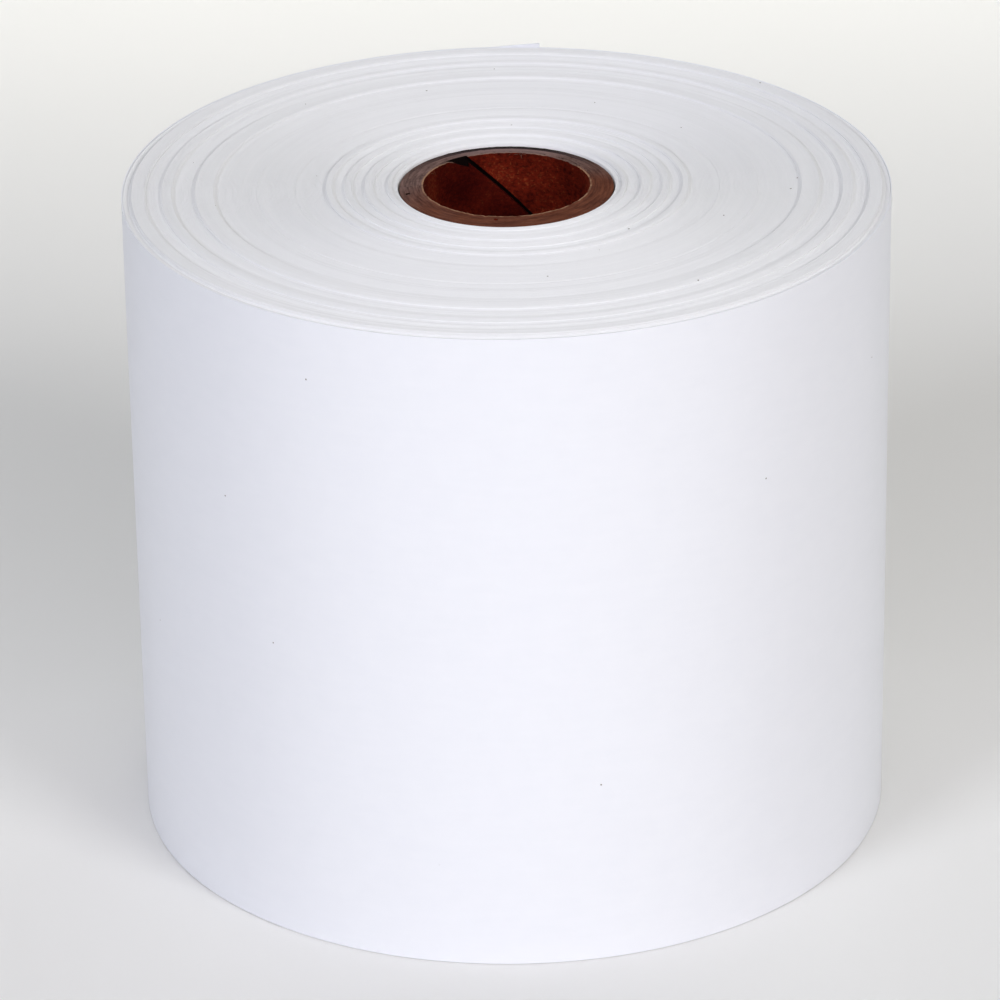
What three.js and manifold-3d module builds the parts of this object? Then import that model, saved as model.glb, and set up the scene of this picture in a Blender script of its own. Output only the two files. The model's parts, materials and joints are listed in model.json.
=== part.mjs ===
// A short roll of white paper on a spiral-wound board core, standing on its end.
// Millimetres. +Z runs along the roll's axis, and the origin is at the middle of the bottom end.
// +Y is the back, where the loose tail of the paper ends.
import * as THREE from "three";
import { mergeVertices } from "three/addons/utils/BufferGeometryUtils.js";
import Module from "manifold-3d";

// Driving dimensions
const WEB_WIDTH = 101.6; // the paper is 4 in wide
const ROLL_RADIUS = 58.0;
const BORE_RADIUS = 12.7; // a 1 in core
const PLY_THICKNESS = 0.66;
const PLY_GAP = 0.04; // glue line between plies
const PLY_COUNT = 5;

// Butt seams of the board plies
const SEAM_DEG_PER_MM = 4.6; // how fast a seam turns round the core, looking down from above
const SEAM_TOP_DEG = 118.9; // where the innermost ply's seam meets the top end
const SEAM_STAGGER_DEG = 144; // from one ply's seam to the next one's
const SEAM_WIDTH = 0.9; // measured round the core

// The wound paper
const START_GAP = 0.25; // air between the core and the first turn
const RUN_GAP = 0.04; // between one run of turns and the next
const TURN_THICKNESS = 0.26; // the outermost turn and the tail, with their air
const TURN_GAP = 0.1; // between the outermost turn and the runs below it

// Runs of turns that have crept along the core together. Each has its outer radius as a share of the
// roll's radius, and how far it stands up from the lowest run.
const RUNS = [
  { name: "run_01_core_side", share: 0.297, creep: 0.0 },
  { name: "run_02", share: 0.313, creep: 0.4 },
  { name: "run_03", share: 0.345, creep: 0.0 },
  { name: "run_04", share: 0.374, creep: 0.4 },
  { name: "run_05", share: 0.4, creep: 0.0 },
  { name: "run_06", share: 0.425, creep: 0.35 },
  { name: "run_07", share: 0.451, creep: 0.0 },
  { name: "run_08", share: 0.474, creep: 0.45 },
  { name: "run_09", share: 0.55, creep: 0.0 },
  { name: "run_10", share: 0.65, creep: 0.05 },
  { name: "run_11", share: 0.758, creep: 0.0 },
  { name: "run_12", share: 0.814, creep: 0.45 },
  { name: "run_13", share: 0.866, creep: 0.0 },
  { name: "run_14", share: 0.9, creep: 0.45 },
  { name: "run_15", share: 0.936, creep: 0.05 },
  { name: "run_16", share: 0.978, creep: 0.45 },
];
const LAST_RUN = { name: "run_17_rim_side", creep: 0.1 };
const OUTER_CREEP = 0.1; // the outermost turn and the tail

// The tail
const TAIL_END_DEG = 84.5; // the cut edge
const TAIL_LEAVES = 4;
const LEAF_DEG = 15;
const TAIL_ROOT_DEG = TAIL_END_DEG + TAIL_LEAVES * LEAF_DEG;
const LEAF_GAP = 0.3; // between neighbouring leaves, measured round the roll
const CORNER_RISE = 0.6; // the top corner of the cut edge stands up by this

// Start tape between the core and the first turn
const TAPE_THICKNESS = 0.1;
const TAPE_FROM_DEG = 210;
const TAPE_TO_DEG = 255;
const TAPE_LENGTH = 96;

// Facets of the round pieces, shared by neighbours so that they nest
const CORE_FACET_DEG = 15;
const ROLL_FACET_DEG = 7.5;

const CORE_RADIUS = BORE_RADIUS + PLY_COUNT * PLY_THICKNESS + (PLY_COUNT - 1) * PLY_GAP;
const FIRST_TURN_RADIUS = CORE_RADIUS + START_GAP;
const OUTER_TURN_INNER = ROLL_RADIUS - TURN_THICKNESS;

const wasm = await Module();
wasm.setup();

const boardPaint = { color: 0x6b4b40, roughness: 0.9, metalness: 0 };
const linerPaint = { color: 0x5a2a20, roughness: 0.85, metalness: 0 };
const edgePaint = { color: 0xdcdde2, roughness: 0.75, metalness: 0 };
const facePaint = { color: 0xf6f6fa, roughness: 0.45, metalness: 0 };
const tapePaint = { color: 0xe6dfc8, roughness: 0.5, metalness: 0 };

const roll = new THREE.Group();

function radians(degrees) {
  return THREE.MathUtils.degToRad(degrees);
}

function pointAt(radius, degrees) {
  return new THREE.Vector2(radius * Math.cos(radians(degrees)), radius * Math.sin(radians(degrees)));
}

/** Corners of an arc with facets of the given angle, from one angle up to another. */
function arc(radius, fromDeg, toDeg, facetDeg) {
  const steps = Math.max(1, Math.round((toDeg - fromDeg) / facetDeg));
  return Array.from({ length: steps + 1 }, (_, i) => {
    return pointAt(radius, fromDeg + ((toDeg - fromDeg) * i) / steps);
  });
}

/** A tube standing on z = bottom. Its corners start at startDeg, so that tubes inside one another nest. */
function tube(innerRadius, outerRadius, height, bottom, startDeg, facetDeg) {
  const outline = new THREE.Shape(arc(outerRadius, startDeg, startDeg + 360, facetDeg).slice(0, -1));
  const bore = arc(innerRadius, startDeg, startDeg + 360, facetDeg).slice(0, -1);
  outline.holes.push(new THREE.Path(bore.reverse()));
  const geometry = new THREE.ExtrudeGeometry(outline, { depth: height, bevelEnabled: false });
  geometry.translate(0, 0, bottom);
  return geometry;
}

/** A curved strip between two angles. endGap is left free at each end, along the strip's end facets. */
function curvedStrip(innerRadius, outerRadius, fromDeg, toDeg, facetDeg, endGap, height, bottom) {
  const outer = arc(outerRadius, fromDeg, toDeg, facetDeg);
  const inner = arc(innerRadius, fromDeg, toDeg, facetDeg);
  for (const side of [outer, inner]) {
    const last = side.length - 1;
    const firstFacet = side[1].clone().sub(side[0]);
    const lastFacet = side[last - 1].clone().sub(side[last]);
    side[0].addScaledVector(firstFacet.normalize(), endGap / 2);
    side[last].addScaledVector(lastFacet.normalize(), endGap / 2);
  }
  const outline = new THREE.Shape([...outer, ...inner.reverse()]);
  const geometry = new THREE.ExtrudeGeometry(outline, { depth: height, bevelEnabled: false });
  geometry.translate(0, 0, bottom);
  return geometry;
}

function toSolid(geometry) {
  const bare = geometry.clone();
  bare.deleteAttribute("normal");
  bare.deleteAttribute("uv");
  const merged = mergeVertices(bare, 1e-4);
  const mesh = new wasm.Mesh({
    numProp: 3,
    vertProperties: new Float32Array(merged.attributes.position.array),
    triVerts: new Uint32Array(merged.index.array),
  });
  return new wasm.Manifold(mesh);
}

function toGeometry(solid) {
  const mesh = solid.getMesh();
  const geometry = new THREE.BufferGeometry();
  geometry.setAttribute("position", new THREE.BufferAttribute(mesh.vertProperties, 3));
  geometry.setIndex(new THREE.BufferAttribute(mesh.triVerts, 1));
  geometry.computeVertexNormals();
  return geometry;
}

function add(name, geometry, paint) {
  const mesh = new THREE.Mesh(geometry, new THREE.MeshStandardMaterial(paint));
  mesh.name = name;
  roll.add(mesh);
  return mesh;
}

/** A bar as tall as the core that twists about +Z with a butt seam, for cutting a ply open. */
function seamCutter(innerRadius, outerRadius, topDeg) {
  const overrun = 1;
  const depth = outerRadius - innerRadius + 2 * overrun;
  const height = WEB_WIDTH + 2 * overrun;
  const steps = Math.ceil((height * SEAM_DEG_PER_MM) / CORE_FACET_DEG);
  const bar = new THREE.BoxGeometry(depth, SEAM_WIDTH, height, 1, 1, steps);
  bar.translate((innerRadius + outerRadius) / 2, 0, WEB_WIDTH / 2);
  const corner = new THREE.Vector3();
  const up = new THREE.Vector3(0, 0, 1);
  for (let i = 0; i < bar.attributes.position.count; i += 1) {
    corner.fromBufferAttribute(bar.attributes.position, i);
    const turned = radians(topDeg + SEAM_DEG_PER_MM * (corner.z - WEB_WIDTH));
    corner.applyAxisAngle(up, turned);
    bar.attributes.position.setXYZ(i, corner.x, corner.y, corner.z);
  }
  return bar;
}

function addCore() {
  for (let ply = 0; ply < PLY_COUNT; ply += 1) {
    const inner = BORE_RADIUS + ply * (PLY_THICKNESS + PLY_GAP);
    const outer = inner + PLY_THICKNESS;
    const board = toSolid(tube(inner, outer, WEB_WIDTH, 0, 0, CORE_FACET_DEG));
    const cutter = toSolid(seamCutter(inner, outer, SEAM_TOP_DEG + ply * SEAM_STAGGER_DEG));
    const cut = toGeometry(board.subtract(cutter));
    const name = ply === 0 ? "core_ply_1_liner" : `core_ply_${ply + 1}`;
    add(name, cut, ply === 0 ? linerPaint : boardPaint);
  }
}

function addStartTape() {
  const inner = CORE_RADIUS + PLY_GAP;
  const bottom = (WEB_WIDTH - TAPE_LENGTH) / 2;
  const outer = inner + TAPE_THICKNESS;
  const strip = curvedStrip(inner, outer, TAPE_FROM_DEG, TAPE_TO_DEG, CORE_FACET_DEG, 0, TAPE_LENGTH, bottom);
  add("start_tape", strip, tapePaint);
}

function addRuns() {
  const lastShare = (OUTER_TURN_INNER - TURN_GAP + RUN_GAP) / ROLL_RADIUS;
  let inner = FIRST_TURN_RADIUS;
  for (const run of [...RUNS, { ...LAST_RUN, share: lastShare }]) {
    const outer = run.share * ROLL_RADIUS - RUN_GAP;
    add(run.name, tube(inner, outer, WEB_WIDTH, run.creep, TAIL_END_DEG, ROLL_FACET_DEG), edgePaint);
    inner = run.share * ROLL_RADIUS;
  }
}

function addOuterTurn() {
  const toDeg = TAIL_END_DEG + 360;
  const strip = curvedStrip(
    OUTER_TURN_INNER, ROLL_RADIUS, TAIL_ROOT_DEG, toDeg, ROLL_FACET_DEG, LEAF_GAP, WEB_WIDTH, OUTER_CREEP,
  );
  add("outer_turn", strip, facePaint);
}

/** Lifts the top corners that stand nearest to the cut edge. */
function raiseCorner(geometry) {
  const position = geometry.attributes.position;
  const edge = pointAt(ROLL_RADIUS, TAIL_END_DEG);
  for (let i = 0; i < position.count; i += 1) {
    const away = Math.hypot(position.getX(i) - edge.x, position.getY(i) - edge.y);
    if (away < 1 && position.getZ(i) > WEB_WIDTH / 2) {
      position.setZ(i, position.getZ(i) + CORNER_RISE);
    }
  }
}

function addTail() {
  for (let leaf = 0; leaf < TAIL_LEAVES; leaf += 1) {
    const toDeg = TAIL_ROOT_DEG - leaf * LEAF_DEG;
    const strip = curvedStrip(
      OUTER_TURN_INNER, ROLL_RADIUS, toDeg - LEAF_DEG, toDeg, ROLL_FACET_DEG, LEAF_GAP, WEB_WIDTH, OUTER_CREEP,
    );
    if (leaf === TAIL_LEAVES - 1) {
      raiseCorner(strip);
    }
    add(`tail_leaf_${leaf + 1}`, strip, facePaint);
  }
}

addCore();
addStartTape();
addRuns();
addOuterTurn();
addTail();

export default roll;
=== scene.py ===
"""A short roll of white paper on a spiral-wound board core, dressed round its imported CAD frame.

Metres, +Z up, in the CAD frame: the roll stands on z = 0 and +Y is the back, where the loose tail ends.
"""

import json
import math

import bpy
import numpy as np
from mathutils import Euler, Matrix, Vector


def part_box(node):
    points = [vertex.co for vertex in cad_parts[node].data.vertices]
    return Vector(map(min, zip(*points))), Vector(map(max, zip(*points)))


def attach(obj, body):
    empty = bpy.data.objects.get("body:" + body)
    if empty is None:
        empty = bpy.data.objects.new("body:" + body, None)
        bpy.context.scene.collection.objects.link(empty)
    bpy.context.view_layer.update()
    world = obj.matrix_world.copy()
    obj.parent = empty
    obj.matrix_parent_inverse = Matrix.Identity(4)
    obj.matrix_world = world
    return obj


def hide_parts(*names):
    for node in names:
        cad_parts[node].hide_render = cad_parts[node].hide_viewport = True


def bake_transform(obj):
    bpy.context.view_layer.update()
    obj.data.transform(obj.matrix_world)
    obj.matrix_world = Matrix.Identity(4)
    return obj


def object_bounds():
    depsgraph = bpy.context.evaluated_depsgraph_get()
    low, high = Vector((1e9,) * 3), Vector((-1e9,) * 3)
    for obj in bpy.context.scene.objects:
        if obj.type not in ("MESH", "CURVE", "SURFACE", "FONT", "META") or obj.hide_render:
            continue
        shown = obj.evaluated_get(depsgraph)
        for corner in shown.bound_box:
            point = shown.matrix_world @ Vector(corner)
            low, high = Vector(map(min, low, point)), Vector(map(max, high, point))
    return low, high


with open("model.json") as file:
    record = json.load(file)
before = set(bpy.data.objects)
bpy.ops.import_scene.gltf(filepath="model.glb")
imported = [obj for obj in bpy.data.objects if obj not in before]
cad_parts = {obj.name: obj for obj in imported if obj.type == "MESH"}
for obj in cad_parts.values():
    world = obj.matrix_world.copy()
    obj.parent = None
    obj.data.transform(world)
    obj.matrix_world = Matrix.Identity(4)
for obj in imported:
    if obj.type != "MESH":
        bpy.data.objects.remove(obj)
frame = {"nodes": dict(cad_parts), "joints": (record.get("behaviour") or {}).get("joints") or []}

MM = 0.001
cad_low, cad_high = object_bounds()

# Paper
CALIPER = 0.2 * MM  # one turn with the air beside it
SHEET = 0.17 * MM  # the paper alone
GROOVE = 0.06 * MM  # how deep the join between two turns looks on the end faces
TURN_STRAY = 0.01 * MM  # how far neighbouring turns stand above or below each other
TURN_SHARES = (0.0, 0.22, 0.5, 0.78)  # where each turn's rounded edge is sampled
TURN_DROPS = (1.0, 0.3, 0.0, 0.3)  # and how far down its groove each sample lies
STEP_TURNS = (1, 2, 1)  # how a step between two runs is spread over the turns beside it
CALM_TURNS = 12  # runs longer than this are wound more evenly
RUN_GROOVE = 1.6  # the join between two runs is deeper than other joins
RIM_SINK = 0.4 * MM  # the last run starts this far down and rises to the outermost paper
OUT_OF_ROUND = 0.2 * MM  # how far the rings stray from circles, half way out
CORE_GROOVES = 0.7  # grooves beside the core are deeper by this share
CORE_GROOVES_FADE = 8  # and this is how fast that fades outwards
WINDING_GAP = 0.1 * MM  # between the last run and the outermost paper
LAYER_GAP = 0.01 * MM  # between two layers of the outermost paper
EDGE_ROUND = 0.01 * MM  # how far the middle of a sheet's cut edge stands out
SHEET_ROWS = 14
SHEET_WAVE = 0.012 * MM
COLUMNS = 240  # round a whole turn
LIFT = 0.12 * MM  # how far the cut edge of the tail stands off the roll
LIFT_LENGTH_DEG = 12

# Board core
SEAM_DEG_PER_MM = 4.6
SEAM_TOP_DEG = 118.9
SEAM_STAGGER_DEG = 144
LINER_SEAM = 0.85 * MM  # measured round the core, at the top
LINER_SEAM_DEEP = 1.4 * MM  # and this far down
SEAM_OPENS = 28 * MM
PLY_SEAM = 0.6 * MM
NOTCH_DEG = 14  # the liner is torn away beside the top of its seam
NOTCH_DEPTH = 1.7 * MM
DOME = 0.16 * MM  # the lip of the bore stands up by this, and each ply outside it is half as much lower
SHOULDER = 0.02 * MM  # how far the outermost ply's end falls towards its outside
PLY_CROWN = 0.06 * MM  # how far the middle of a ply's cut end bulges
WALL_ROUGHNESS = 0.015 * MM
TOP_ROUGHNESS = 0.03 * MM
FOOT_ROUGHNESS = 0.02 * MM
FIBRE_TUFT_DEG = 80  # a tuft of torn fibres stands here, and more are scattered round the bore
TUFT_FIBRES = 9
LOOSE_FIBRES = 16

# Camera: where it stands, seen from the middle of the roll's axis
CAMERA_DISTANCE = 0.868
CAMERA_ELEVATION_DEG = 25.36
CAMERA_ROLL_DEG = -0.807
CAMERA_LENS_MM = 202.4
CAMERA_SHIFT = (-0.01085, -0.01074)

LAMP_DISTANCE = 3.0


# ---------------------------------------------------------------- frame readings


def radii(node):
    """(smallest, largest) distance of a CAD node's corners from the roll's axis."""
    away = [math.hypot(v.co.x, v.co.y) for v in frame["nodes"][node].data.vertices]
    return min(away), max(away)


def node_names(start):
    return sorted(name for name in frame["nodes"] if name.startswith(start))


def joint_angle_deg(name):
    """Where a hinge stands round the roll, seen from above."""
    place = next(j["pos_m"] for j in frame["joints"] if j["name"] == name)
    return math.degrees(math.atan2(place[1], place[0]))


# ---------------------------------------------------------------- mesh building


def polar(radius, angle, height):
    """Points from arrays of radius, angle in radians and height that fit one another."""
    radius, angle, height = np.broadcast_arrays(radius, angle, height)
    return np.stack([radius * np.cos(angle), radius * np.sin(angle), height], axis=-1)


def signed_volume(points, faces):
    """Six times the volume inside the faces, negative where they face in."""
    total = 0.0
    for size in sorted({len(f) for f in faces}):
        same = np.array([f for f in faces if len(f) == size])
        for k in range(1, size - 1):
            a, b, c = points[same[:, 0]], points[same[:, k]], points[same[:, k + 1]]
            total += float(np.einsum("ij,ij->i", a, np.cross(b, c)).sum())
    return total


def mesh_piece(name, points, faces, material, sharp_deg=40):
    """A visible piece from a closed mesh, turned to face out."""
    if signed_volume(points, faces) < 0:
        faces = [f[::-1] for f in faces]
    mesh = bpy.data.meshes.new(name)
    mesh.from_pydata(points.tolist(), [], faces)
    mesh.shade_smooth()
    mesh.set_sharp_from_angle(angle=math.radians(sharp_deg))
    mesh.materials.append(material)
    piece = bpy.data.objects.new(name, mesh)
    bpy.context.scene.collection.objects.link(piece)
    return piece


def wrapped(name, inner, top, outer, bottom, closed, material, slot, sharp_deg=40):
    """A closed skin round a wall. inner and outer hold (columns, rows, 3) points from the bottom up, top
    runs across from inner to outer, and bottom back again. An open wall gets a cap at each end."""
    loop = np.concatenate([inner, top, outer[:, ::-1], bottom], axis=1)
    columns, around = loop.shape[:2]
    index = np.arange(columns * around).reshape(columns, around)
    ahead = np.roll(index, -1, axis=0)
    here, there = (index, ahead) if closed else (index[:-1], ahead[:-1])
    corners = (here, np.roll(here, -1, axis=1), np.roll(there, -1, axis=1), there)
    faces = np.stack(corners, axis=-1).reshape(-1, 4).tolist()
    if not closed:
        rows, across = inner.shape[1], top.shape[1]
        for column, flip in ((0, False), (columns - 1, True)):
            ring = index[column]
            outward = ring[rows + across : 2 * rows + across][::-1]
            cap = [[ring[i], outward[i], outward[i + 1], ring[i + 1]] for i in range(rows - 1)]
            if across:
                cap.append([ring[rows - 1], outward[-1], *ring[rows : rows + across][::-1]])
            if bottom.shape[1]:
                cap.append([*ring[2 * rows + across :][::-1], outward[0], ring[0]])
            faces += [[int(i) for i in (f[::-1] if flip else f)] for f in cap]
    return mesh_piece(name, loop.reshape(-1, 3), faces, material, sharp_deg)


def drift(rng, count, memory):
    """count random steps of size 1, each like the one before it as far as memory says."""
    steps = rng.normal(0, 1, count)
    fresh = math.sqrt(1 - memory * memory)
    for i in range(1, count):
        steps[i] = memory * steps[i - 1] + fresh * steps[i]
    return steps


def stray(rng, angles, count, size, memory=0.6, waves=5):
    """How far each of count neighbouring turns strays from level, at each angle."""
    field = np.tile(drift(rng, count, memory) * size, (len(angles), 1))
    for wave in range(1, waves + 1):
        for shape in (np.cos, np.sin):
            field += np.outer(shape(wave * angles), drift(rng, count, memory)) * size * 0.6 / wave
    return field


# ---------------------------------------------------------------- materials


class Nodes:
    """A material's node tree, with short calls for the nodes used here."""

    def __init__(self, name):
        self.material = bpy.data.materials.new(name)
        self.material.use_nodes = True
        self.tree = self.material.node_tree
        self.shader = self.tree.nodes["Principled BSDF"]

    def add(self, kind, links=(), **values):
        node = self.tree.nodes.new(kind)
        for key, value in values.items():
            if hasattr(node, key):
                setattr(node, key, value)
            else:
                node.inputs[key.replace("_", " ")].default_value = value
        for socket, source in dict(links).items():
            self.link(source, node.inputs[socket])
        return node

    def link(self, source, socket):
        self.tree.links.new(source, socket)

    def math(self, operation, first, second=None):
        node = self.tree.nodes.new("ShaderNodeMath")
        node.operation = operation
        for socket, value in zip(node.inputs, (first, second)):
            if isinstance(value, (int, float)):
                socket.default_value = value
            elif value is not None:
                self.link(value, socket)
        return node.outputs[0]

    def object_place(self):
        return self.add("ShaderNodeTexCoord").outputs["Object"]

    def flat_place(self):
        """The object's coordinates without their height: their length is the distance from the axis."""
        flat = self.add("ShaderNodeVectorMath", {0: self.object_place()}, operation="MULTIPLY")
        flat.inputs[1].default_value = (1.0, 1.0, 0.0)
        return flat.outputs["Vector"]

    def cylinder_place(self, round_scale, along_scale, out_scale):
        """Coordinates round the roll's axis: distance round it, height and distance from it."""
        split = self.add("ShaderNodeSeparateXYZ", {"Vector": self.object_place()})
        x, y, z = split.outputs
        away = self.math("SQRT", self.math("ADD", self.math("MULTIPLY", x, x), self.math("MULTIPLY", y, y)))
        turn = self.math("ARCTAN2", y, x)
        scaled = [
            self.math("MULTIPLY", turn, round_scale),
            self.math("MULTIPLY", z, along_scale),
            self.math("MULTIPLY", away, out_scale),
        ]
        return self.add("ShaderNodeCombineXYZ", dict(zip("XYZ", scaled))).outputs[0]

    def noise(self, place, scale, detail=3.0, roughness=0.55):
        node = self.add("ShaderNodeTexNoise", {"Vector": place})
        node.inputs["Scale"].default_value = scale
        node.inputs["Detail"].default_value = detail
        node.inputs["Roughness"].default_value = roughness
        return node.outputs["Fac"]

    def ramp(self, value, stops):
        node = self.tree.nodes.new("ShaderNodeValToRGB")
        self.link(value, node.inputs["Fac"])
        elements = node.color_ramp.elements
        for i, (place, colour) in enumerate(stops):
            element = elements[i] if i < 2 else elements.new(place)
            element.position = place
            element.color = (*colour, 1)
        return node.outputs["Color"]

    def span(self, value, low, high, from_low=0.0, from_high=1.0):
        node = self.tree.nodes.new("ShaderNodeMapRange")
        self.link(value, node.inputs["Value"])
        limits = {"From Min": from_low, "From Max": from_high, "To Min": low, "To Max": high}
        for key, number in limits.items():
            node.inputs[key].default_value = number
        return node.outputs["Result"]

    def mix(self, share, first, second, blend="MIX"):
        node = self.tree.nodes.new("ShaderNodeMix")
        node.data_type = "RGBA"
        node.blend_type = blend
        for socket, value in ((node.inputs[0], share), (node.inputs[6], first), (node.inputs[7], second)):
            if isinstance(value, (int, float)):
                socket.default_value = value
            elif isinstance(value, tuple):
                socket.default_value = (*value, 1)
            else:
                self.link(value, socket)
        return node.outputs[2]

    def bump(self, height, strength, distance):
        node = self.tree.nodes.new("ShaderNodeBump")
        node.inputs["Strength"].default_value = strength
        node.inputs["Distance"].default_value = distance
        self.link(height, node.inputs["Height"])
        self.link(node.outputs["Normal"], self.shader.inputs["Normal"])

    def finish(self, colour, roughness, specular=0.4):
        self.link(colour, self.shader.inputs["Base Color"])
        self.link(roughness, self.shader.inputs["Roughness"])
        self.shader.inputs["Specular IOR Level"].default_value = specular
        return self.material

    def specks(self, place, colour, spacing, size, share, dust=(0.25, 0.22, 0.2)):
        """Scattered dark specks of dust, one in few cells of the given spacing."""
        cells = self.add("ShaderNodeTexVoronoi", {"Vector": place})
        cells.inputs["Scale"].default_value = 1 / spacing
        near = self.math("LESS_THAN", cells.outputs["Distance"], size / spacing)
        pick = self.add("ShaderNodeSeparateColor", {"Color": cells.outputs["Color"]}).outputs[0]
        chosen = self.math("LESS_THAN", pick, share)
        return self.mix(self.math("MULTIPLY", near, chosen), colour, dust)


def paper_face_material():
    """Smooth coated white paper: a faint cloudiness, a hint of calender streaks and a few specks."""
    n = Nodes("paper_face")
    place = n.object_place()
    cloud = n.noise(place, 260.0, 4.0)
    streak = n.noise(n.cylinder_place(9.0, 900.0, 300.0), 1.0, 2.0)
    shade = n.math("ADD", n.math("MULTIPLY", cloud, 0.6), n.math("MULTIPLY", streak, 0.4))
    colour = n.ramp(shade, [(0.3, (0.865, 0.878, 0.925)), (0.7, (0.885, 0.896, 0.94))])
    colour = n.specks(place, colour, 0.006, 0.00013, 0.25)
    n.bump(n.noise(place, 3200.0, 5.0, 0.6), 0.12, 0.00004)
    return n.finish(colour, n.span(cloud, 0.42, 0.5, 0.3, 0.7), 0.35)


def paper_edge_material():
    """Slit edges of the turns: faint rings, dust in the joins and loose fibres."""
    n = Nodes("paper_edge")
    place = n.object_place()
    rings = n.noise(n.cylinder_place(1.4, 300.0, 2600.0), 1.0, 3.0, 0.65)
    broad = n.noise(n.cylinder_place(0.8, 100.0, 420.0), 1.0, 2.0)
    shade = n.math("ADD", n.math("MULTIPLY", rings, 0.65), n.math("MULTIPLY", broad, 0.35))
    colour = n.ramp(shade, [(0.25, (0.85, 0.855, 0.872)), (0.75, (0.91, 0.912, 0.927))])
    colour = n.specks(place, colour, 0.005, 0.00015, 0.8)
    n.bump(n.noise(place, 5200.0, 3.0, 0.7), 0.25, 0.00005)
    return n.finish(colour, n.span(rings, 0.62, 0.85, 0.3, 0.7), 0.25)


def board_material(name, wall, face, fleck, fibre_size, lip_place=(0.0, 0.0), back_shade=0.0, seam_side_shade=0.0):
    """Brown board. wall and face are (dark, pale) pairs: the ply's sides and its cut ends. The ends are
    greyer at the back left and redder at the front right. lip_place is the radius and height of a broken tan
    lip, light torn fibres with a painted highlight, stain how dark the painted shade on the ends is at
    the back, and seam_side_shade how dark the painted shade on the wall is beside one edge of the strip's
    seam."""
    n = Nodes(name)
    place = n.object_place()
    split = n.add("ShaderNodeSeparateXYZ", {"Vector": place}).outputs
    around = n.cylinder_place(0.0127 / fibre_size, 1.6 / fibre_size, 1 / fibre_size)
    fibres = n.noise(around, 1.0, 5.0, 0.7)
    blotch = n.noise(place, 130.0, 3.0)
    grain = n.noise(place, 1500.0, 4.0, 0.65)
    shade = n.math("ADD", n.math("MULTIPLY", fibres, 0.3), n.math("MULTIPLY", blotch, 0.4))
    shade = n.math("ADD", shade, n.math("MULTIPLY", grain, 0.3))
    side_colour = n.ramp(shade, [(0.38, wall[0]), (0.62, wall[1])])
    flecks = n.math("MULTIPLY", n.noise(place, 2500.0, 3.0, 0.6), n.span(blotch, 0.7, 1.2, 0.3, 0.7))
    side_colour = n.mix(n.span(flecks, 0.0, 0.55, 0.52, 0.7), side_colour, fleck)
    turned = n.math("SUBTRACT", n.math("ARCTAN2", split["Y"], split["X"]), math.radians(SEAM_TOP_DEG))
    climbed = n.math("MULTIPLY", n.math("SUBTRACT", split["Z"], lip_place[1]), SEAM_DEG_PER_MM / 360 / MM)
    across_strip = n.math("FRACT", n.math("SUBTRACT", n.math("MULTIPLY", turned, 0.5 / math.pi), climbed))
    # Painted shade: the wall is darkened beside one edge of the wound strip's seam, fading round the bore.
    side_colour = n.mix(n.span(across_strip, seam_side_shade, 0.0, 0.05, 0.4), side_colour, (0.035, 0.0006, 0.0003))
    arcs = n.noise(n.cylinder_place(4.0, 200.0, 2600.0), 1.0, 3.0, 0.65)
    end_shade = n.math("ADD", n.math("MULTIPLY", shade, 0.5), n.math("MULTIPLY", arcs, 0.5))
    face_colour = n.ramp(end_shade, [(0.4, face[0]), (0.6, face[1])])
    across = n.math("SUBTRACT", split["X"], n.math("MULTIPLY", split["Y"], 1.6))
    tint = n.math("ADD", n.noise(place, 60.0, 2.0), n.span(across, -0.36, 0.45, -0.024, 0.024))
    red = n.ramp(arcs, [(0.35, (0.085, 0.022, 0.01)), (0.65, (0.165, 0.046, 0.018))])
    face_colour = n.mix(n.span(tint, 0.0, 0.85, 0.3, 0.75), face_colour, red)
    face_colour = n.mix(n.span(split["Y"], 0.0, 0.7, 0.01, 0.0145), face_colour, (0.3, 0.2, 0.19))
    # Painted shade: the ends are darkened towards the back, where the outermost ply's end lies in shade.
    back = n.span(split["Y"], 0.0, 1.0, 0.005, 0.014)
    face_colour = n.mix(n.math("MULTIPLY", back, back_shade), face_colour, (0.02, 0.013, 0.014))
    away = n.add("ShaderNodeVectorMath", {0: n.flat_place()}, operation="LENGTH").outputs["Value"]
    # The broken tan lip round the bore: light torn fibres with a painted highlight, faded towards the back.
    on_lip = n.span(away, 1.0, 0.0, lip_place[0] + 0.15 * MM, lip_place[0] + 0.35 * MM)
    patches = n.span(n.noise(place, 420.0, 2.0), 0.0, 1.0, 0.36, 0.5)
    lip_fibres_and_highlight = n.math("MULTIPLY", patches, n.span(back, 1.0, 0.1))
    face_colour = n.mix(n.math("MULTIPLY", on_lip, lip_fibres_and_highlight), face_colour, (0.36, 0.2, 0.12))
    near_end = n.span(split["Z"], 0.0, 1.0, lip_place[1] - 0.5 * MM, lip_place[1] - 0.3 * MM)
    normal = n.add("ShaderNodeNewGeometry").outputs["Normal"]
    upright = n.math("ABSOLUTE", n.add("ShaderNodeSeparateXYZ", {"Vector": normal}).outputs["Z"])
    cut_end = n.math("MULTIPLY", n.span(upright, 0.0, 1.0, 0.5, 0.85), near_end)
    colour = n.mix(cut_end, side_colour, face_colour)
    n.bump(n.math("ADD", fibres, grain), 0.6, 0.00012)
    return n.finish(colour, n.span(fibres, 0.85, 1.0, 0.3, 0.7), 0.08)


def tape_material():
    n = Nodes("start_tape")
    place = n.object_place()
    weave = n.noise(place, 900.0, 4.0)
    colour = n.ramp(weave, [(0.3, (0.72, 0.66, 0.5)), (0.7, (0.82, 0.77, 0.62))])
    n.bump(weave, 0.2, 0.00005)
    return n.finish(colour, n.span(weave, 0.35, 0.5, 0.3, 0.7), 0.4)


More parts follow.
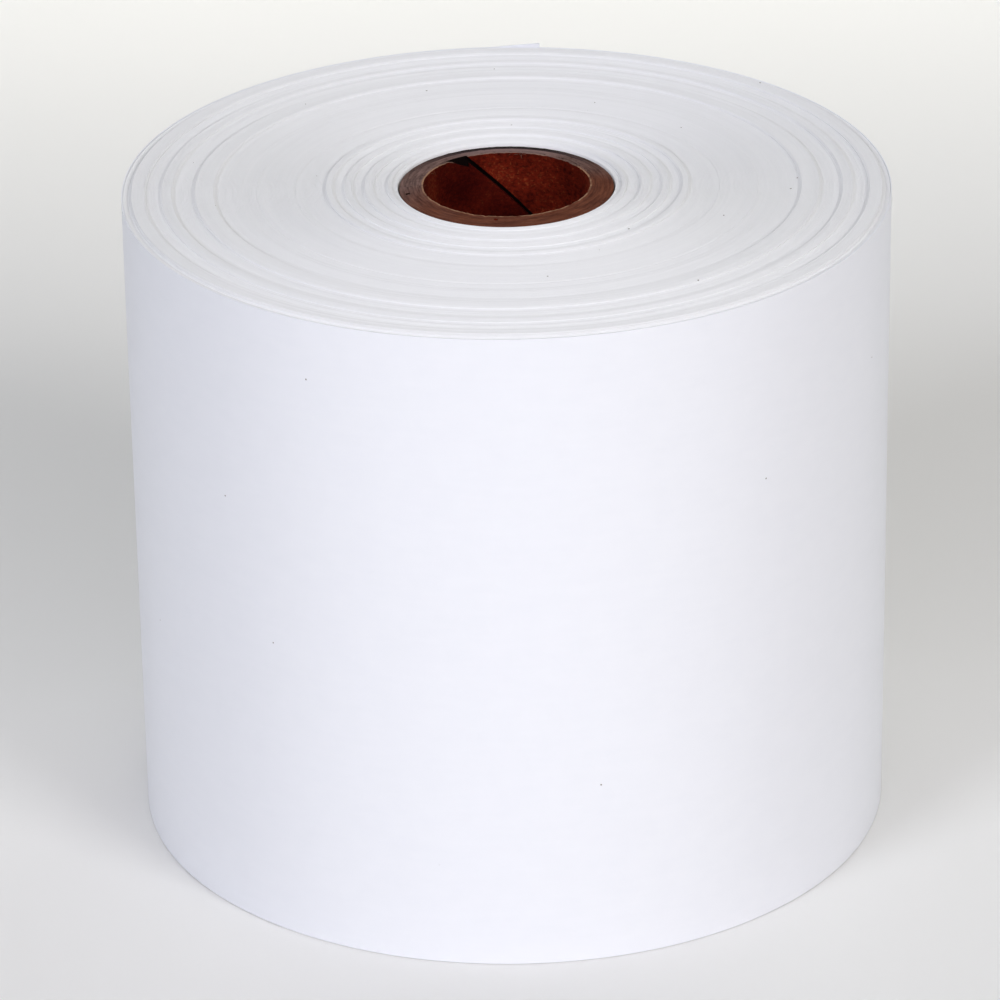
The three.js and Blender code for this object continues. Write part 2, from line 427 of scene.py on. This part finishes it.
def floor_material():
    n = Nodes("floor")
    place = n.object_place()
    cloud = n.noise(place, 3.0, 4.0)
    colour = n.ramp(cloud, [(0.3, (0.86, 0.858, 0.845)), (0.7, (0.88, 0.878, 0.865))])
    n.bump(n.noise(place, 900.0, 3.0), 0.1, 0.0001)
    return n.finish(colour, n.span(cloud, 0.6, 0.7, 0.3, 0.7), 0.3)


# ---------------------------------------------------------------- pieces


class Winding:
    """All the wound turns together. Their edges form one relief on each end face, so runs meet cleanly."""

    def __init__(self, rng):
        self.nodes = node_names("run_")
        spans = [radii(node) for node in self.nodes]
        joins = [(inside[1] + outside[0]) / 2 for inside, outside in zip(spans, spans[1:])]
        walls = [spans[0][0], *joins, radii("outer_turn")[0] - WINDING_GAP]
        counts = [max(2, round((b - a) / CALIPER)) for a, b in zip(walls, walls[1:])]
        self.first = np.concatenate([[0], np.cumsum(counts)])
        starts = [np.linspace(a, b, n, endpoint=False) for a, b, n in zip(walls, walls[1:], counts)]
        self.starts = np.concatenate([*starts, [walls[-1]]])
        self.angles = np.linspace(0, 2 * np.pi, COLUMNS, endpoint=False)
        turns = int(self.first[-1])
        calm = np.repeat([min(1.0, (CALM_TURNS / n) ** 2) for n in counts], counts)
        field = stray(rng, self.angles, turns, TURN_STRAY) * calm
        self.high = self.level(counts, 1) + field
        self.low = np.maximum(self.level(counts, 0) + field, 0.0)
        away = (self.starts[:-1] - walls[0]) / (walls[-1] - walls[0])
        self.groove = GROOVE * (1 + CORE_GROOVES * np.exp(-CORE_GROOVES_FADE * away))
        self.groove *= np.exp(0.25 * calm * drift(rng, turns, 0.8))
        self.groove[self.first[1:-1]] *= RUN_GROOVE
        self.phases = rng.uniform(0, 2 * np.pi, 3)

    def level(self, counts, end):
        """The height of every turn's edge at one end, with the steps between runs spread over a few turns."""
        heights = np.repeat([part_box(node)[end].z for node in self.nodes], counts)
        if end == 1:
            heights[-counts[-1] :] -= RIM_SINK * np.linspace(1, 0, counts[-1])
        reach = len(STEP_TURNS) // 2
        padded = np.pad(heights, reach, mode="edge")
        return np.convolve(padded, np.array(STEP_TURNS) / sum(STEP_TURNS), mode="valid")

    def points(self, first, last, levels, shares, drops, away):
        """Points across the turns from first to last. away is +1 where grooves lead up, -1 where down."""
        steps = len(shares)
        turn = np.repeat(np.arange(first, last), steps)
        share = np.tile(shares, last - first)
        drop = np.tile(drops, last - first)
        radius = self.starts[turn] + (self.starts[turn + 1] - self.starts[turn]) * share
        height = levels[:, turn]
        join = np.tile(np.arange(steps) == 0, last - first)
        height[:, join] = (levels[:, turn[join]] + levels[:, np.maximum(turn[join] - 1, 0)]) / 2
        height = height + away * drop * self.groove[turn]
        end = np.minimum(last, levels.shape[1] - 1)
        edge = (levels[:, end] + levels[:, last - 1]) / 2 + away * self.groove[end]
        radius = np.append(radius, self.starts[last])
        height = np.concatenate([height, edge[:, None]], axis=1)
        place = radius + self.warp(radius)
        if last == len(self.starts) - 1:
            place[:, -1] = inner_face_at(np.degrees(self.angles))
            place[:, -2] = np.minimum(place[:, -2], place[:, -1] - 0.02 * MM)
        return polar(place, self.angles[:, None], np.maximum(height, 0.0))

    def warp(self, radius):
        """The rings are a little out of round, most of all half way out."""
        share = (radius - self.starts[0]) / (self.starts[-1] - self.starts[0])
        waves = [np.cos((k + 1) * self.angles + phase) / (k + 1) for k, phase in enumerate(self.phases)]
        return OUT_OF_ROUND * sum(waves)[:, None] * np.sin(np.pi * share)

    def build(self, material):
        for number, node in enumerate(self.nodes):
            first, last = int(self.first[number]), int(self.first[number + 1])
            top = self.points(first, last, self.high, TURN_SHARES, TURN_DROPS, -1)
            foot = self.points(first, last, self.low, (0.0, 0.5), (1.0, 0.0), 1)
            inner = np.stack([foot[:, 0], top[:, 0]], axis=1)
            outer = np.stack([foot[:, -1], top[:, -1]], axis=1)
            across = foot[:, -2:0:-1]
            skin = (inner, top[:, 1:-1], outer, across)
            piece = wrapped(node + "_turns", *skin, True, material, "paper_edge", 85)
            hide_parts(node)
            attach(piece, "roll")


def outer_radius_at(degrees):
    """The paper's outer face winds inwards by one caliper a turn, from the cut edge on."""
    return cad_radius - CALIPER * (degrees - tail_end_deg) / 360


def inner_face_at(degrees):
    """The inner face of the lowest layer of the outer paper, which overlaps itself under the tail."""
    round_from_end = (degrees - tail_end_deg) % 360
    under = round_from_end < tail_root_deg - tail_end_deg
    return outer_radius_at(tail_end_deg + round_from_end + 360 * under) - SHEET - LAYER_GAP


def top_edge_at(degrees):
    """The top corner of the cut edge stands up, and the edge slopes up to it."""
    rise = (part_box("tail_leaf_4")[1].z - sheet_high) * np.clip((corner_deg - degrees) / corner_span, 0, 1)
    return sheet_high + rise


def build_sheet(name, from_deg, to_deg, material):
    """A stretch of the outermost paper, from one angle to another."""
    columns = max(8, round((to_deg - from_deg) / 360 * COLUMNS * 1.5))
    degrees = np.linspace(from_deg, to_deg, columns + 1)
    angle = np.radians(degrees)[:, None]
    lift = LIFT * np.clip(1 - (degrees - tail_end_deg) / LIFT_LENGTH_DEG, 0, 1) ** 2
    face = (outer_radius_at(degrees) + lift)[:, None]
    share = np.linspace(0, 1, SHEET_ROWS)
    wave = SHEET_WAVE * (np.sin(5 * angle + 7 * share) + np.sin(9 * angle - 11 * share))
    height = sheet_low + (top_edge_at(degrees)[:, None] - sheet_low) * share
    outer = polar(face + wave, angle, height)
    inner = polar(face + wave - SHEET, angle, height)
    middle = face + wave[:, -1:] - SHEET / 2
    top = polar(middle, angle, height[:, -1:] + EDGE_ROUND)
    bottom = polar(middle, angle, height[:, :1] - EDGE_ROUND)
    return wrapped(name, inner, top, outer, bottom, False, material, "paper_face", 40)


def build_outer_paper(material):
    """The outermost turn, and the tail in stretches that each reach across the place of one hinge."""
    leaves = node_names("tail_leaf_")
    roots = [joint_angle_deg(j["name"]) for j in frame["joints"]]
    half = (roots[0] - roots[1]) / 2
    turn = build_sheet("outer_turn_sheet", tail_root_deg, tail_root_deg + 360, material)
    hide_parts("outer_turn")
    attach(turn, "roll")
    for i, leaf in enumerate(leaves):
        last = i == len(leaves) - 1
        from_deg = tail_end_deg if last else roots[i] - half
        to_deg = roots[i] + half
        sheet = build_sheet(leaf + "_sheet", from_deg, to_deg, material)
        start = Vector(polar(cad_radius, math.radians(to_deg), 0.0))
        end = Vector(polar(cad_radius, math.radians(roots[i] - half), 0.0))
        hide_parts(leaf)
        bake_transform(sheet)


def build_ply(node, index, rng, material, slot):
    """One board ply: a strip wound in a helix, with an open butt seam and rough cut ends."""
    inner_radius, outer_radius = radii(node)
    low, high = (corner.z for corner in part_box(node))
    liner = index == 0
    last = index == len(node_names("core_ply_")) - 1
    columns, rows, across = (220, 130, 5) if liner else (150, 30, 5)
    gap = math.degrees(PLY_SEAM / inner_radius)
    share = np.linspace(0, 1, columns + 1)[:, None]
    start = SEAM_TOP_DEG + SEAM_STAGGER_DEG * index
    brink = start + gap / 2 + share * (360 - gap)
    lip = np.full((columns + 1, 1), high + DOME * (1 - index / 2))
    if liner:
        torn = np.clip((brink - start) / NOTCH_DEG, 0, 1)
        ragged = 0.75 + 0.25 * drift(rng, columns + 1, 0.5)[:, None]
        lip = high + DOME - NOTCH_DEPTH * (1 - torn**3) * ragged * (torn < 1)
        lip -= 0.05 * MM * np.abs(drift(rng, columns + 1, 0.4))[:, None]
    height = low + (lip - low) * np.linspace(0, 1, rows) ** 0.8
    if liner:
        depth = np.clip((high - height) / SEAM_OPENS, 0, 1)
        gap = np.degrees((LINER_SEAM + (LINER_SEAM_DEEP - LINER_SEAM) * depth) / inner_radius)
        brink = start + gap / 2 + share * (360 - gap)
    angle = np.radians(brink + SEAM_DEG_PER_MM * (height - high) / MM)
    rough = rng.normal(0, WALL_ROUGHNESS, angle.shape) if liner else np.zeros(angle.shape)
    inner = polar(inner_radius + rough, angle, height)
    outer = polar(outer_radius, angle, height)
    step = (np.arange(across) + 1) / (across + 1)
    end_radius = inner_radius + (outer_radius - inner_radius) * step
    crown = PLY_CROWN * np.sin(np.pi * step)
    shoulder = DOME / 2 * step + (SHOULDER * step**1.5 if last else 0)
    rough_top = rng.normal(0, TOP_ROUGHNESS, (columns + 1, across))
    rough_foot = rng.normal(0, FOOT_ROUGHNESS, (columns + 1, across))
    top = polar(end_radius, angle[:, -1:], lip + crown + rough_top - shoulder)
    bottom = polar(end_radius[::-1], angle[:, :1], low + np.abs(rough_foot))
    outer[:, -1, 2] -= DOME / 2 + (SHOULDER if last else 0)
    piece = wrapped(node + "_board", inner, top, outer, bottom, False, material, slot, 60)
    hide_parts(node)
    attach(piece, "roll")


def fibre_tube(rng, root, along, length, thickness, points, faces):
    """One curled board fibre as a thin bent tube, added to points and faces."""
    sides, joints = 5, 7
    bend = rng.normal(0, 0.35, 3)
    line, step = [np.array(root)], np.array(along) * length / joints
    for _ in range(joints - 1):
        step = step + np.cross(bend, step) * 0.5
        line.append(line[-1] + step)
    base = len(points)
    for i, spot in enumerate(line):
        ahead = line[min(i + 1, joints - 1)] - line[max(i - 1, 0)]
        across = np.cross(ahead, (0.0, 0.0, 1.0)) + 1e-9
        across /= np.linalg.norm(across)
        up = np.cross(ahead, across)
        up /= np.linalg.norm(up)
        size = thickness * (1 - 0.5 * i / joints)
        for k in range(sides):
            turn = 2 * math.pi * k / sides
            points.append(spot + size * (math.cos(turn) * across + math.sin(turn) * up))
    for i in range(joints - 1):
        for k in range(sides):
            a, b = base + i * sides + k, base + i * sides + (k + 1) % sides
            faces.append([a, b, b + sides, a + sides])
    faces.append([base + k for k in reversed(range(sides))])
    faces.append([base + (joints - 1) * sides + k for k in range(sides)])


def build_fibres(rng, material):
    """Torn fibres along the lip of the bore."""
    inner_radius = radii("core_ply_1_liner")[0]
    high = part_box("core_ply_1_liner")[1].z
    points, faces = [], []
    spots = [*rng.normal(FIBRE_TUFT_DEG, 3.5, TUFT_FIBRES), *rng.uniform(0, 360, LOOSE_FIBRES)]
    for degrees in spots:
        turn = math.radians(degrees)
        root = polar(inner_radius + 0.1 * MM, turn, high - 0.1 * MM)
        side = rng.choice((-1, 1))
        outward, onward = polar(1.0, turn, 0.0), side * polar(1.0, turn + math.pi / 2, 0.0)
        along = onward - 0.5 * outward + (0.0, 0.0, 0.1)
        along /= np.linalg.norm(along)
        length = rng.uniform(0.4, 1.1) * MM
        fibre_tube(rng, root, along, length, rng.uniform(0.02, 0.045) * MM, points, faces)
    piece = mesh_piece("core_lip_fibres", np.array(points), faces, material)
    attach(piece, "roll")


def build_core(rng):
    lip = (radii("core_ply_1_liner")[0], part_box("core_ply_1_liner")[1].z)
    face = ((0.08, 0.048, 0.042), (0.23, 0.14, 0.12))
    red_wall = ((0.03, 0.0006, 0.0002), (0.2, 0.016, 0.005))
    # The glue between plies, painted near black to stand in for the shade in the liner's seam and torn notch.
    glue_and_painted_shade = ((0.003, 0.001, 0.0008), (0.006, 0.002, 0.0015))
    brown = ((0.1, 0.05, 0.035), (0.18, 0.1, 0.07))
    # The liner's wall carries painted shade beside one edge of its seam.
    liner = board_material("core_liner", red_wall, face, (0.3, 0.07, 0.022), 0.0006, lip, seam_side_shade=0.6)
    glue_and_shade_board = board_material("core_glue_and_shade", glue_and_painted_shade, face, (0.01, 0.004, 0.003), 0.0005, (0.0, lip[1]))
    board = board_material("core_board", brown, face, (0.3, 0.2, 0.14), 0.0005, (0.0, lip[1]))
    low_lip = (0.0, lip[1] - SHOULDER)
    # The outer plies' ends carry painted shade at the back.
    outside = board_material("core_outside", brown, face, (0.3, 0.2, 0.14), 0.0005, low_lip, back_shade=0.95)
    tan = ((0.1, 0.035, 0.018), (0.2, 0.085, 0.045))
    fibre = board_material("core_fibre", tan, tan, (0.3, 0.16, 0.09), 0.0005)
    materials = (liner, glue_and_shade_board, board, outside, outside)
    for index, (node, material) in enumerate(zip(node_names("core_ply_"), materials)):
        build_ply(node, index, rng, material, "core_liner" if index == 0 else "core_board")
    build_fibres(rng, fibre)


def build_tape():
    """The hidden strip that holds the first turn to the core."""
    node = "start_tape"
    inner_radius, outer_radius = radii(node)
    low, high = (corner.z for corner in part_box(node))
    at = [math.atan2(v.co.y, v.co.x) for v in frame["nodes"][node].data.vertices]
    angles = np.linspace(min(at), max(at), 30)
    height = np.linspace(low, high, 40)
    angle = angles[:, None]
    inner = polar(inner_radius, angle, height)
    outer = polar(outer_radius, angle, height)
    none = np.zeros((len(angles), 0, 3))
    piece = wrapped(node + "_strip", inner, none, outer, none, False, tape_material(), "start_tape")
    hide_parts(node)
    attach(piece, "roll")


# ---------------------------------------------------------------- stage


def build_floor():
    size, steps = 3.0, 24
    edge = np.linspace(-size, size, steps + 1)
    x, y = np.meshgrid(edge, edge, indexing="ij")
    points = np.stack([x.ravel(), y.ravel(), np.full(x.size, cad_low.z - 0.02 * MM)], axis=1)
    index = np.arange(x.size).reshape(x.shape)
    corners = (index[:-1, :-1], index[1:, :-1], index[1:, 1:], index[:-1, 1:])
    faces = np.stack(corners, axis=-1).reshape(-1, 4).tolist()
    mesh = bpy.data.meshes.new("floor")
    mesh.from_pydata(points.tolist(), [], faces)
    mesh.materials.append(floor_material())
    floor = bpy.data.objects.new("floor", mesh)
    bpy.context.scene.collection.objects.link(floor)


def softbox(name, place, aim, size, power, colour, spread_deg=180):
    data = bpy.data.lights.new(name, "AREA")
    data.shape = "RECTANGLE"
    data.size, data.size_y = size
    data.energy = power
    data.color = colour
    data.spread = math.radians(spread_deg)
    light = bpy.data.objects.new(name, data)
    light.location = place
    light.rotation_euler = (Vector(aim) - Vector(place)).to_track_quat("-Z", "Y").to_euler()
    light.visible_camera = False
    bpy.context.scene.collection.objects.link(light)


def round_the_roll(turn_deg, lift_deg):
    """A place for a lamp: turned to the left from the front, and lifted, on a sphere round the roll."""
    turn, lift = math.radians(turn_deg), math.radians(lift_deg)
    away = LAMP_DISTANCE * math.cos(lift)
    return (-away * math.sin(turn), -away * math.cos(turn), LAMP_DISTANCE * math.sin(lift) + 0.05)


def build_lights():
    """Two small softboxes in front, weaker fills, and washes on the floor before and behind the roll."""
    world = bpy.data.worlds.new("studio")
    world.use_nodes = True
    world.node_tree.nodes["Background"].inputs["Strength"].default_value = 0.0
    bpy.context.scene.world = world
    middle = (0.0, 0.0, 0.05)
    white, cool = (1.0, 0.98, 0.96), (0.9, 0.93, 1.0)
    softbox("left_key", round_the_roll(42, 30), middle, (0.95, 0.95), 34.2, cool)
    softbox("right_key", round_the_roll(-42, 30), middle, (0.95, 0.95), 34.8, (1.0, 0.99, 0.985))
    softbox("left_front_fill", round_the_roll(20, 30), middle, (1.4, 1.4), 3.6, (0.66, 0.6, 1.0))
    softbox("right_front_fill", round_the_roll(-20, 30), middle, (1.4, 1.4), 8.0, (1.0, 0.88, 0.91))
    softbox("high_front_fill", round_the_roll(0, 55), middle, (1.9, 1.9), 3.0, white)
    softbox("low_front_fill", round_the_roll(0, 8), middle, (1.9, 1.2), 1.9, white)
    softbox("left_rim", round_the_roll(140, 35), middle, (1.9, 1.9), 13.0, (0.965, 0.955, 1.0))
    softbox("right_rim", round_the_roll(-140, 35), middle, (1.9, 1.9), 14.5, (0.96, 1.0, 0.98))
    softbox("high_back_fill", round_the_roll(180, 60), middle, (1.9, 1.9), 7.2, white)
    softbox("top_fill", (0.0, 0.05, 3.1), middle, (2.1, 2.1), 4.3, (0.95, 1.0, 0.86))
    softbox("far_floor_wash", (0.0, 0.8, 0.45), (0.0, 0.5, 0.0), (0.8, 0.4), 0.39, white, 100)
    softbox("back_floor_wash", (0.0, 0.42, 0.4), (0.0, 0.42, 0.0), (0.5, 0.2), 0.155, (1.0, 0.99, 0.89), 60)
    softbox("front_floor_wash", (0.0, -0.55, 0.45), (0.0, -0.2, 0.0), (0.8, 0.3), 0.17, white, 70)


def build_camera():
    data = bpy.data.cameras.new("camera")
    data.lens = CAMERA_LENS_MM
    data.sensor_width = 36.0
    data.shift_x, data.shift_y = CAMERA_SHIFT
    data.clip_start, data.clip_end = 0.01, 50.0
    camera = bpy.data.objects.new("camera", data)
    lift = math.radians(CAMERA_ELEVATION_DEG)
    aim = Vector((0, 0, (sheet_low + sheet_high) / 2))
    camera.location = aim + CAMERA_DISTANCE * Vector((0, -math.cos(lift), math.sin(lift)))
    level = Euler((math.pi / 2 - lift, 0, 0)).to_matrix()
    roll = Euler((0, 0, math.radians(CAMERA_ROLL_DEG))).to_matrix()
    camera.rotation_euler = (level @ roll).to_euler()
    bpy.context.scene.collection.objects.link(camera)
    bpy.context.scene.camera = camera


# ---------------------------------------------------------------- the roll

cad_radius = radii("outer_turn")[1]
sheet_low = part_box("outer_turn")[0].z
sheet_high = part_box("outer_turn")[1].z
leaf_span = joint_angle_deg("tail_bend_3") - joint_angle_deg("tail_bend_4")
tail_end_deg = joint_angle_deg("tail_bend_4") - leaf_span
corner_span = leaf_span / 2
corner_deg = tail_end_deg + corner_span
tail_root_deg = joint_angle_deg("tail_peel") + corner_span  # the first bend starts here

build_camera()
build_lights()
build_floor()

face_paper = paper_face_material()
edge_paper = paper_edge_material()
randoms = np.random.default_rng(20)
build_core(randoms)
build_tape()
Winding(randoms).build(edge_paper)
build_outer_paper(face_paper)

bpy.context.scene.view_settings.view_transform = "Standard"
bpy.context.scene.view_settings.look = "None"
